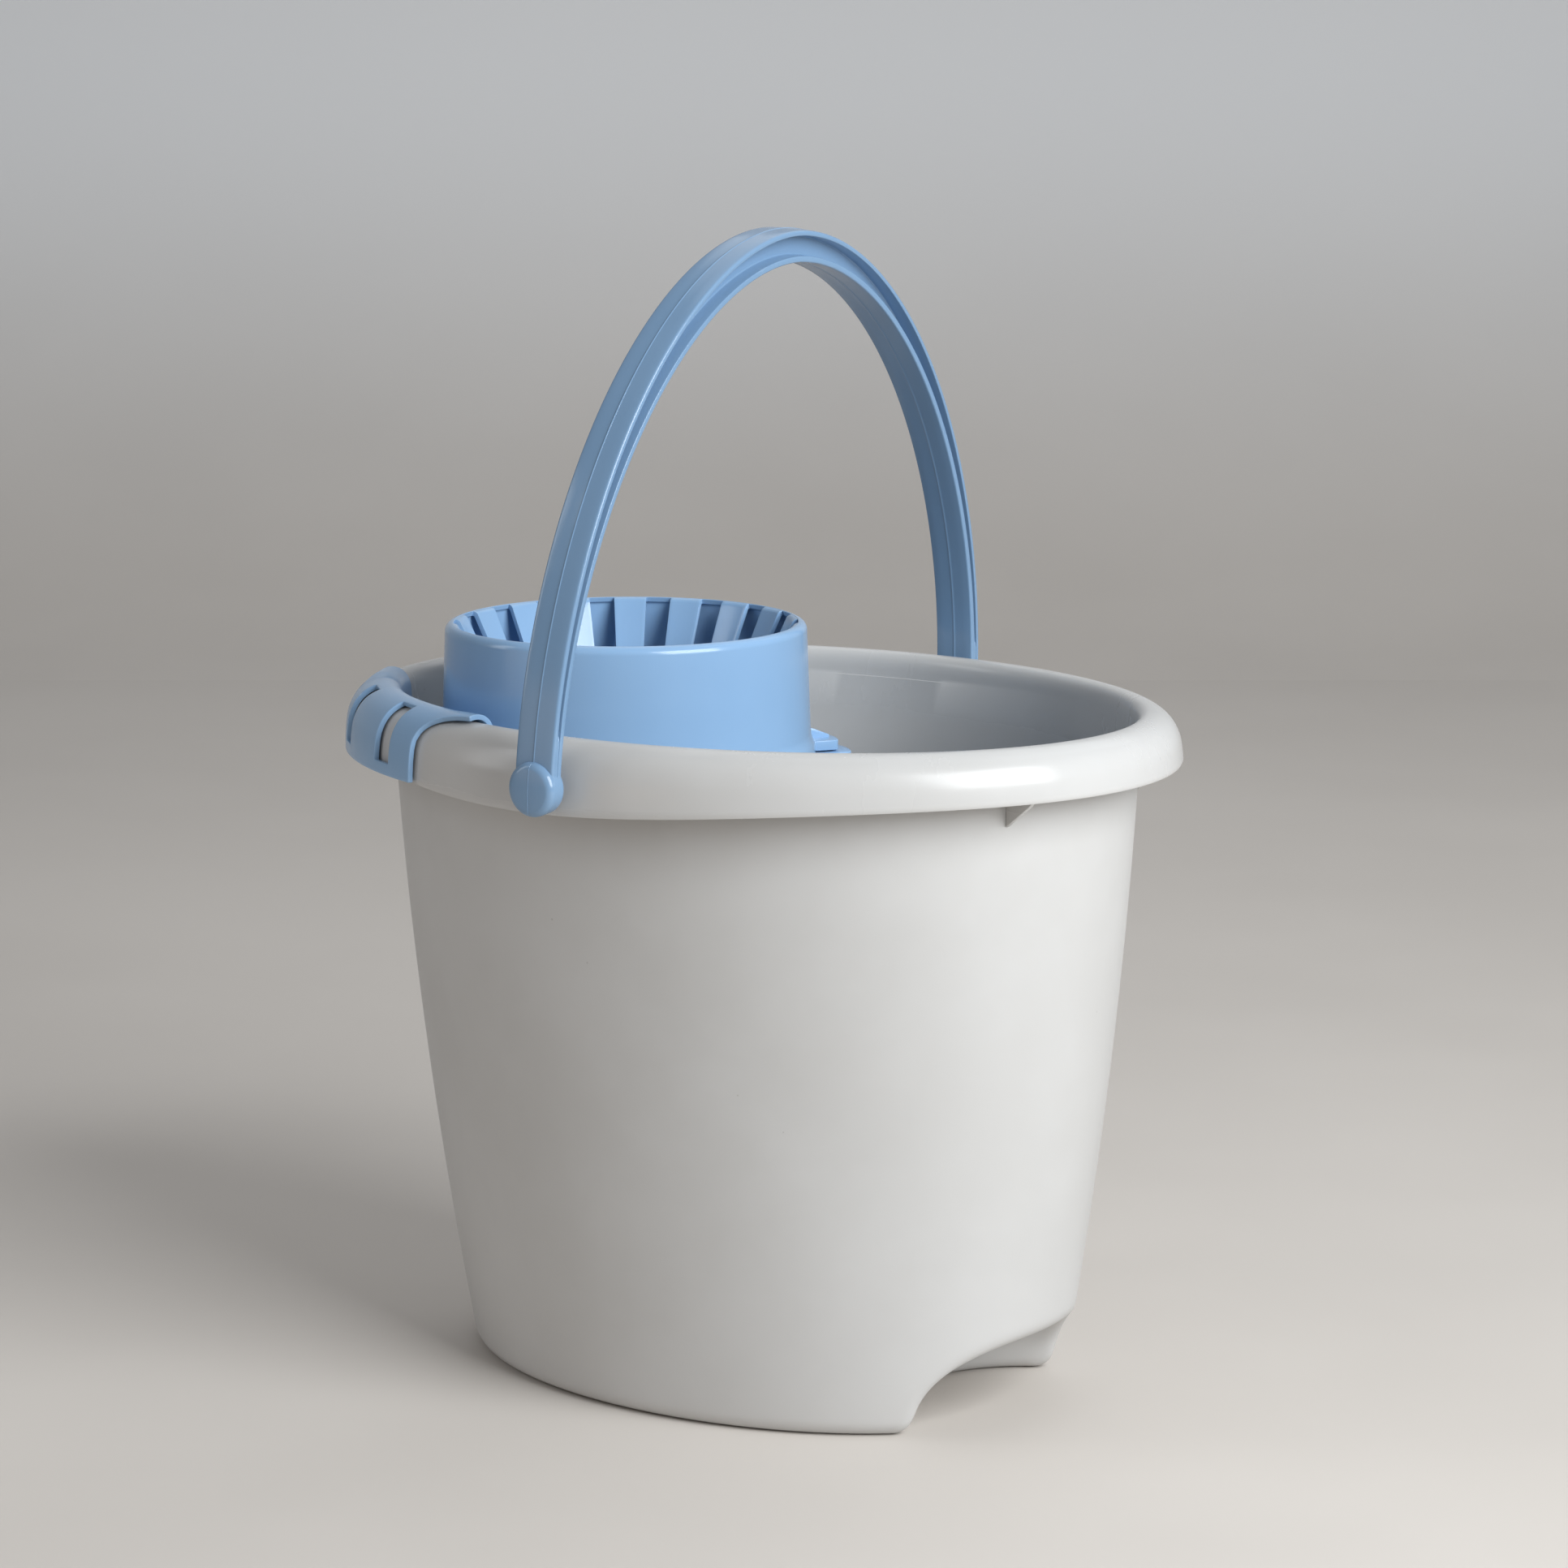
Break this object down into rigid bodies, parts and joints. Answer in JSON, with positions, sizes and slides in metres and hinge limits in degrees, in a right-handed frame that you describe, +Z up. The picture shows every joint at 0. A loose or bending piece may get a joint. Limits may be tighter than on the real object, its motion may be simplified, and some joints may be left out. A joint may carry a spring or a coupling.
{
  "type": "mop bucket",
  "caption": "Oval plastic mop bucket with a rolled rim, a pivoting bail handle and a round slotted wringer cup that clips onto the rim.",
  "frame": {"origin": "under the middle of the tub, on the surface that it stands on", "axes": "+Z up; +X along the oval's long axis, towards the finger notch in the base; +Y along the handle's pivot line"},
  "size_m": [0.37, 0.3192, 0.4816],
  "materials": {
    "grey_plastic": "injection moulded polypropylene, light warm grey, satin outside, slightly glossier rim",
    "blue_plastic": "injection moulded polypropylene, pale blue, soft gloss"
  },
  "bodies": {
    "tub": {"bucket_tub": "grey_plastic"},
    "handle": {"bail_handle": "blue_plastic"},
    "wringer": {"wringer_carrier": "blue_plastic", "wringer_cup": "blue_plastic"}
  },
  "joints": [
    {"name": "handle_swing", "type": "hinge", "parent": "tub", "child": "handle", "pos_m": [0, 0, 0.2703], "axis": [0, 1, 0], "range_deg": [-82, 116.5]},
    {"name": "wringer_lift", "type": "slide", "parent": "tub", "child": "wringer", "axis": [0, 0, 1], "range_m": [0, 0.1]}
  ]
}
